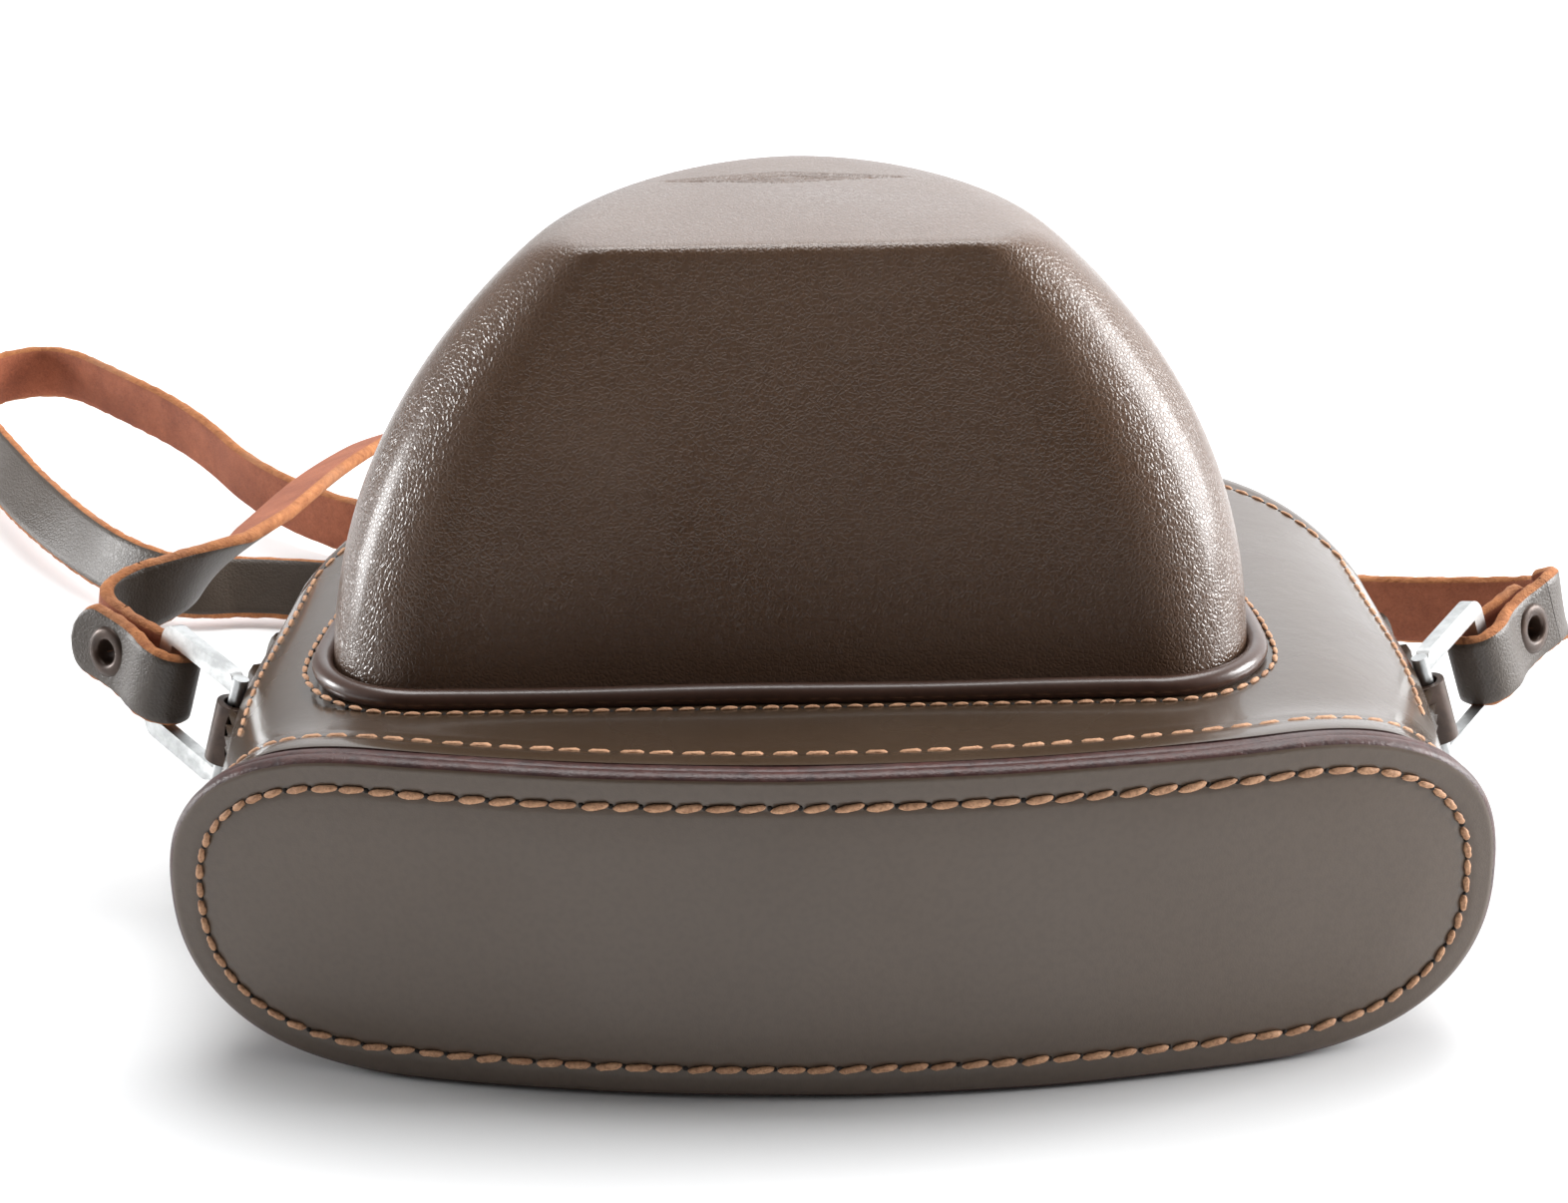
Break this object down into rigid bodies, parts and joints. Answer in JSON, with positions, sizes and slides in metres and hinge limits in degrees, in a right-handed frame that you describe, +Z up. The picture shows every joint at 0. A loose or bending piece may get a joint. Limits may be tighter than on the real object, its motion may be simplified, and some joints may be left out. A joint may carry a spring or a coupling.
{
  "type": "leather camera case",
  "caption": "Hard leather ever-ready case for a small camera, with a tall lens nose that swings open, a retaining screw in its base, strap rings and a neck strap.",
  "frame": {"origin": "floor point under the middle of the case, which lies on its back on the rims of its top panel and base", "axes": "+X to the right facing the top panel, +Y from the top panel to the base, +Z up, the way the lens nose points"},
  "size_m": [0.2588, 0.2354, 0.088],
  "materials": {
    "case_leather": "smooth glossy dark olive-brown box calf, sewn near its edges",
    "nose_leather": "wet-moulded brown leather with a fine pebbled grain and a soft shine",
    "edge_leather": "burnished dark burgundy-brown cut edge",
    "bead_leather": "glossy dark brown piping",
    "lining": "short red-brown velvet",
    "strap_leather": "reddish-brown flesh side, dark grey-brown grain side, fuzzy orange edges",
    "strap_grain": "dark grey-brown grain side, worn shiny",
    "ring_metal": "dull zinc-plated flat wire with grey patches",
    "clip_metal": "brown-lacquered sheet metal",
    "eyelet_lacquer": "brown-lacquered eyelet with worn rim",
    "snap_metal": "brown-lacquered brass press stud and rivet",
    "screw_metal": "nickel-plated brass, knurled rim",
    "brass_fitting": "plain brass flanged tube"
  },
  "bodies": {
    "lower_half": {"lower_shell": "case_leather", "shell_lining": "lining", "base_board": "edge_leather", "base_cover": "case_leather", "ferrule": "brass_fitting", "tab_anchor": "case_leather", "tab_rivet": "snap_metal", "lug_clip_left": "clip_metal", "lug_clip_right": "clip_metal", "clip_rivets_left": "clip_metal", "clip_rivets_right": "clip_metal", "hinge_strip": "case_leather", "strap_left": "strap_leather", "strap_floor": "strap_leather", "strap_right": "strap_leather"},
    "cover": {"top_panel": "case_leather", "panel_board": "edge_leather", "panel_lining": "lining", "cover_wall": "case_leather", "nose": "nose_leather", "nose_lining": "lining", "nose_bead": "bead_leather", "snap_stud": "snap_metal"},
    "screw": {"retaining_screw": "screw_metal", "screw_clip": "screw_metal"},
    "tab": {"closing_tab": "case_leather", "snap_cap": "snap_metal"},
    "ring_left_body": {"ring_left": "ring_metal", "strap_end_left": "strap_grain", "eyelet_left": "eyelet_lacquer"},
    "ring_right_body": {"ring_right": "ring_metal", "strap_end_right": "strap_grain", "eyelet_right": "eyelet_lacquer"}
  },
  "joints": [
    {"name": "cover_hinge", "type": "hinge", "parent": "lower_half", "child": "cover", "pos_m": [0, 0.05, 0.0373], "axis": [-1, 0, 0], "range_deg": [0, 110], "deforming": ["hinge_strip"]},
    {"name": "screw_turn", "type": "hinge", "parent": "lower_half", "child": "screw", "pos_m": [0, 0.046, 0.0202], "axis": [0, 1, 0], "continuous": true},
    {"name": "tab_hinge", "type": "hinge", "parent": "lower_half", "child": "tab", "pos_m": [0, -0.019, 0.0013], "axis": [1, 0, 0], "range_deg": [0, 120]},
    {"name": "ring_left_swing", "type": "hinge", "parent": "lower_half", "child": "ring_left_body", "pos_m": [-0.0746, -0.004, 0.024], "axis": [0.2924, 0, 0.9563], "range_deg": [-40, 100]},
    {"name": "ring_right_swing", "type": "hinge", "parent": "lower_half", "child": "ring_right_body", "pos_m": [0.0746, -0.004, 0.024], "axis": [-0.2924, 0, 0.9563], "range_deg": [-118, 22]}
  ]
}
